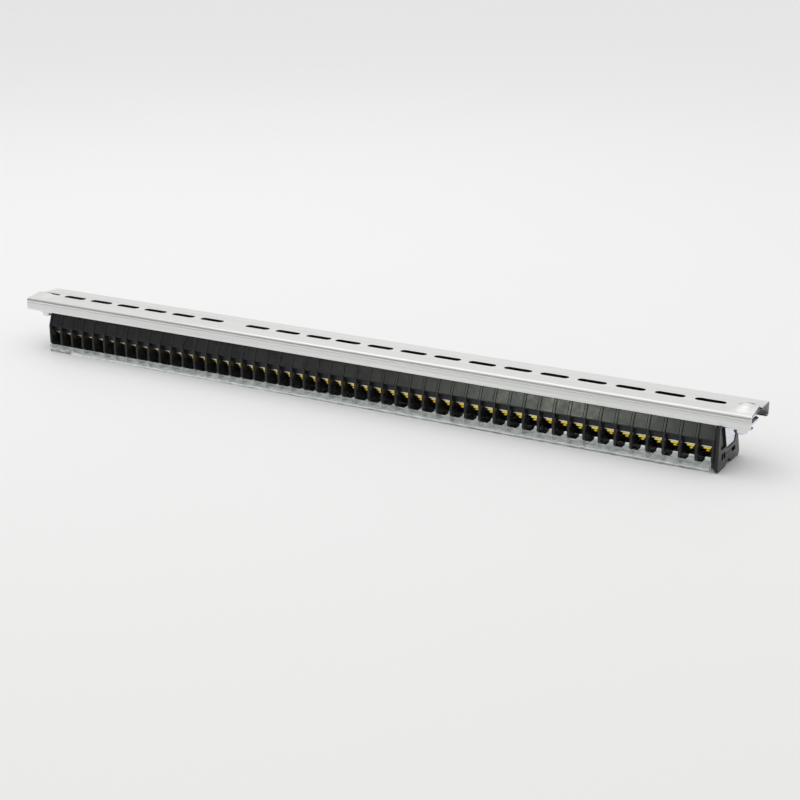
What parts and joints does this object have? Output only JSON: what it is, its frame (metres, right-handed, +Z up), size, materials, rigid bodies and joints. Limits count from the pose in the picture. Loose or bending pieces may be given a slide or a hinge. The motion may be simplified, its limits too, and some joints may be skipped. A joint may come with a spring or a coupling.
{
  "type": "din rail terminal block",
  "caption": "Long modular barrier terminal strip on a slotted aluminium rail, shown face down, with a clear sliding cover, an end plate and a screw clamp at each end.",
  "frame": {"origin": "centre of the bounding box's bottom face, on the floor the cover rests on", "axes": "+X along the rail towards the end plate, +Z up out of the rail's flat back, -Y towards the front long side"},
  "size_m": [0.548, 0.04, 0.0374],
  "materials": {
    "aluminium": "extruded, fine lengthwise lines",
    "black_plastic": "moulded, slight sheen",
    "clear_plastic": "clear extruded plastic",
    "tinned_brass": "tin plated",
    "yellow_zinc": "yellow chromate zinc plated",
    "blue_zinc": "bright bluish zinc plated"
  },
  "bodies": {
    "strip": {"rail": "aluminium", "end_plate": "black_plastic", "housings_01_to_05": "black_plastic", "housings_06_to_10": "black_plastic", "housings_11_to_15": "black_plastic", "housings_16_to_20": "black_plastic", "housings_21_to_25": "black_plastic", "housings_26_to_30": "black_plastic", "housings_31_to_35": "black_plastic", "housings_36_to_40": "black_plastic", "housings_41_to_45": "black_plastic", "pole_46_housing": "black_plastic", "pole_46_conductor": "tinned_brass", "pole_47_housing": "black_plastic", "pole_47_conductor": "tinned_brass", "pole_48_housing": "black_plastic", "pole_48_conductor": "tinned_brass", "pole_49_housing": "black_plastic", "pole_49_conductor": "tinned_brass", "pole_50_housing": "black_plastic", "pole_50_conductor": "tinned_brass"},
    "cover": {"cover": "clear_plastic"},
    "clamp_left": {"clamp_bracket_left": "blue_zinc"},
    "clamp_nut_left": {"clamp_nut_left": "blue_zinc"},
    "clamp_screw_left": {"clamp_screw_left": "blue_zinc"},
    "clamp_right": {"clamp_bracket_right": "blue_zinc"},
    "clamp_nut_right": {"clamp_nut_right": "blue_zinc"},
    "clamp_screw_right": {"clamp_screw_right": "blue_zinc"},
    "pole_46_front_washer": {"pole_46_front_washer": "yellow_zinc"},
    "pole_46_front_screw": {"pole_46_front_screw": "yellow_zinc"},
    "pole_46_rear_washer": {"pole_46_rear_washer": "yellow_zinc"},
    "pole_46_rear_screw": {"pole_46_rear_screw": "yellow_zinc"},
    "pole_47_front_washer": {"pole_47_front_washer": "yellow_zinc"},
    "pole_47_front_screw": {"pole_47_front_screw": "yellow_zinc"},
    "pole_47_rear_washer": {"pole_47_rear_washer": "yellow_zinc"},
    "pole_47_rear_screw": {"pole_47_rear_screw": "yellow_zinc"},
    "pole_48_front_washer": {"pole_48_front_washer": "yellow_zinc"},
    "pole_48_front_screw": {"pole_48_front_screw": "yellow_zinc"},
    "pole_48_rear_washer": {"pole_48_rear_washer": "yellow_zinc"},
    "pole_48_rear_screw": {"pole_48_rear_screw": "yellow_zinc"},
    "pole_49_front_washer": {"pole_49_front_washer": "yellow_zinc"},
    "pole_49_front_screw": {"pole_49_front_screw": "yellow_zinc"},
    "pole_49_rear_washer": {"pole_49_rear_washer": "yellow_zinc"},
    "pole_49_rear_screw": {"pole_49_rear_screw": "yellow_zinc"},
    "pole_50_front_washer": {"pole_50_front_washer": "yellow_zinc"},
    "pole_50_front_screw": {"pole_50_front_screw": "yellow_zinc"},
    "pole_50_rear_washer": {"pole_50_rear_washer": "yellow_zinc"},
    "pole_50_rear_screw": {"pole_50_rear_screw": "yellow_zinc"}
  },
  "joints": [
    {"name": "cover_slide", "type": "slide", "parent": "strip", "child": "cover", "axis": [1, 0, 0], "range_m": [-0.2, 0]},
    {"name": "clamp_left_slide", "type": "slide", "parent": "strip", "child": "clamp_left", "axis": [1, 0, 0], "range_m": [-0.006, 0]},
    {"name": "clamp_left_nut_lift", "type": "slide", "parent": "clamp_left", "child": "clamp_nut_left", "axis": [0, 0, 1], "range_m": [0, 0.00175]},
    {"name": "clamp_left_screw_turn", "type": "hinge", "parent": "clamp_left", "child": "clamp_screw_left", "pos_m": [-0.2625, -0.008, 0.026], "axis": [0, 0, 1], "range_deg": [-900, 0]},
    {"name": "clamp_right_slide", "type": "slide", "parent": "strip", "child": "clamp_right", "axis": [1, 0, 0], "range_m": [0, 0.004]},
    {"name": "clamp_right_nut_lift", "type": "slide", "parent": "clamp_right", "child": "clamp_nut_right", "axis": [0, 0, 1], "range_m": [0, 0.00175]},
    {"name": "clamp_right_screw_turn", "type": "hinge", "parent": "clamp_right", "child": "clamp_screw_right", "pos_m": [0.2656, -0.008, 0.026], "axis": [0, 0, 1], "range_deg": [-900, 0]},
    {"name": "pole_46_front_washer_drop", "type": "slide", "parent": "strip", "child": "pole_46_front_washer", "axis": [0, 0, 1], "range_m": [-0.00245, 0]},
    {"name": "pole_46_front_screw_turn", "type": "hinge", "parent": "pole_46_front_washer", "child": "pole_46_front_screw", "pos_m": [0.20805, -0.011, 0.0123], "axis": [0, 0, 1], "range_deg": [-1260, 0]},
    {"name": "pole_46_rear_washer_drop", "type": "slide", "parent": "strip", "child": "pole_46_rear_washer", "axis": [0, 0, 1], "range_m": [-0.00245, 0]},
    {"name": "pole_46_rear_screw_turn", "type": "hinge", "parent": "pole_46_rear_washer", "child": "pole_46_rear_screw", "pos_m": [0.20805, 0.011, 0.0123], "axis": [0, 0, 1], "range_deg": [-1260, 0]},
    {"name": "pole_47_front_washer_drop", "type": "slide", "parent": "strip", "child": "pole_47_front_washer", "axis": [0, 0, 1], "range_m": [-0.00245, 0]},
    {"name": "pole_47_front_screw_turn", "type": "hinge", "parent": "pole_47_front_washer", "child": "pole_47_front_screw", "pos_m": [0.21813, -0.011, 0.0123], "axis": [0, 0, 1], "range_deg": [-1260, 0]},
    {"name": "pole_47_rear_washer_drop", "type": "slide", "parent": "strip", "child": "pole_47_rear_washer", "axis": [0, 0, 1], "range_m": [-0.00245, 0]},
    {"name": "pole_47_rear_screw_turn", "type": "hinge", "parent": "pole_47_rear_washer", "child": "pole_47_rear_screw", "pos_m": [0.21813, 0.011, 0.0123], "axis": [0, 0, 1], "range_deg": [-1260, 0]},
    {"name": "pole_48_front_washer_drop", "type": "slide", "parent": "strip", "child": "pole_48_front_washer", "axis": [0, 0, 1], "range_m": [-0.00245, 0]},
    {"name": "pole_48_front_screw_turn", "type": "hinge", "parent": "pole_48_front_washer", "child": "pole_48_front_screw", "pos_m": [0.22823, -0.011, 0.0123], "axis": [0, 0, 1], "range_deg": [-1260, 0]},
    {"name": "pole_48_rear_washer_drop", "type": "slide", "parent": "strip", "child": "pole_48_rear_washer", "axis": [0, 0, 1], "range_m": [-0.00245, 0]},
    {"name": "pole_48_rear_screw_turn", "type": "hinge", "parent": "pole_48_rear_washer", "child": "pole_48_rear_screw", "pos_m": [0.22823, 0.011, 0.0123], "axis": [0, 0, 1], "range_deg": [-1260, 0]},
    {"name": "pole_49_front_washer_drop", "type": "slide", "parent": "strip", "child": "pole_49_front_washer", "axis": [0, 0, 1], "range_m": [-0.00245, 0]},
    {"name": "pole_49_front_screw_turn", "type": "hinge", "parent": "pole_49_front_washer", "child": "pole_49_front_screw", "pos_m": [0.23831, -0.011, 0.0123], "axis": [0, 0, 1], "range_deg": [-1260, 0]},
    {"name": "pole_49_rear_washer_drop", "type": "slide", "parent": "strip", "child": "pole_49_rear_washer", "axis": [0, 0, 1], "range_m": [-0.00245, 0]},
    {"name": "pole_49_rear_screw_turn", "type": "hinge", "parent": "pole_49_rear_washer", "child": "pole_49_rear_screw", "pos_m": [0.23831, 0.011, 0.0123], "axis": [0, 0, 1], "range_deg": [-1260, 0]},
    {"name": "pole_50_front_washer_drop", "type": "slide", "parent": "strip", "child": "pole_50_front_washer", "axis": [0, 0, 1], "range_m": [-0.00245, 0]},
    {"name": "pole_50_front_screw_turn", "type": "hinge", "parent": "pole_50_front_washer", "child": "pole_50_front_screw", "pos_m": [0.2484, -0.011, 0.0123], "axis": [0, 0, 1], "range_deg": [-1260, 0]},
    {"name": "pole_50_rear_washer_drop", "type": "slide", "parent": "strip", "child": "pole_50_rear_washer", "axis": [0, 0, 1], "range_m": [-0.00245, 0]},
    {"name": "pole_50_rear_screw_turn", "type": "hinge", "parent": "pole_50_rear_washer", "child": "pole_50_rear_screw", "pos_m": [0.2484, 0.011, 0.0123], "axis": [0, 0, 1], "range_deg": [-1260, 0]}
  ],
  "couplings": [
    {"joint": "clamp_left_screw_turn", "follows": "clamp_left_nut_lift", "rad_per_m": -8976},
    {"joint": "clamp_right_screw_turn", "follows": "clamp_right_nut_lift", "rad_per_m": -8976},
    {"joint": "pole_46_front_screw_turn", "follows": "pole_46_front_washer_drop", "rad_per_m": 8976},
    {"joint": "pole_46_rear_screw_turn", "follows": "pole_46_rear_washer_drop", "rad_per_m": 8976},
    {"joint": "pole_47_front_screw_turn", "follows": "pole_47_front_washer_drop", "rad_per_m": 8976},
    {"joint": "pole_47_rear_screw_turn", "follows": "pole_47_rear_washer_drop", "rad_per_m": 8976},
    {"joint": "pole_48_front_screw_turn", "follows": "pole_48_front_washer_drop", "rad_per_m": 8976},
    {"joint": "pole_48_rear_screw_turn", "follows": "pole_48_rear_washer_drop", "rad_per_m": 8976},
    {"joint": "pole_49_front_screw_turn", "follows": "pole_49_front_washer_drop", "rad_per_m": 8976},
    {"joint": "pole_49_rear_screw_turn", "follows": "pole_49_rear_washer_drop", "rad_per_m": 8976},
    {"joint": "pole_50_front_screw_turn", "follows": "pole_50_front_washer_drop", "rad_per_m": 8976},
    {"joint": "pole_50_rear_screw_turn", "follows": "pole_50_rear_washer_drop", "rad_per_m": 8976}
  ]
}
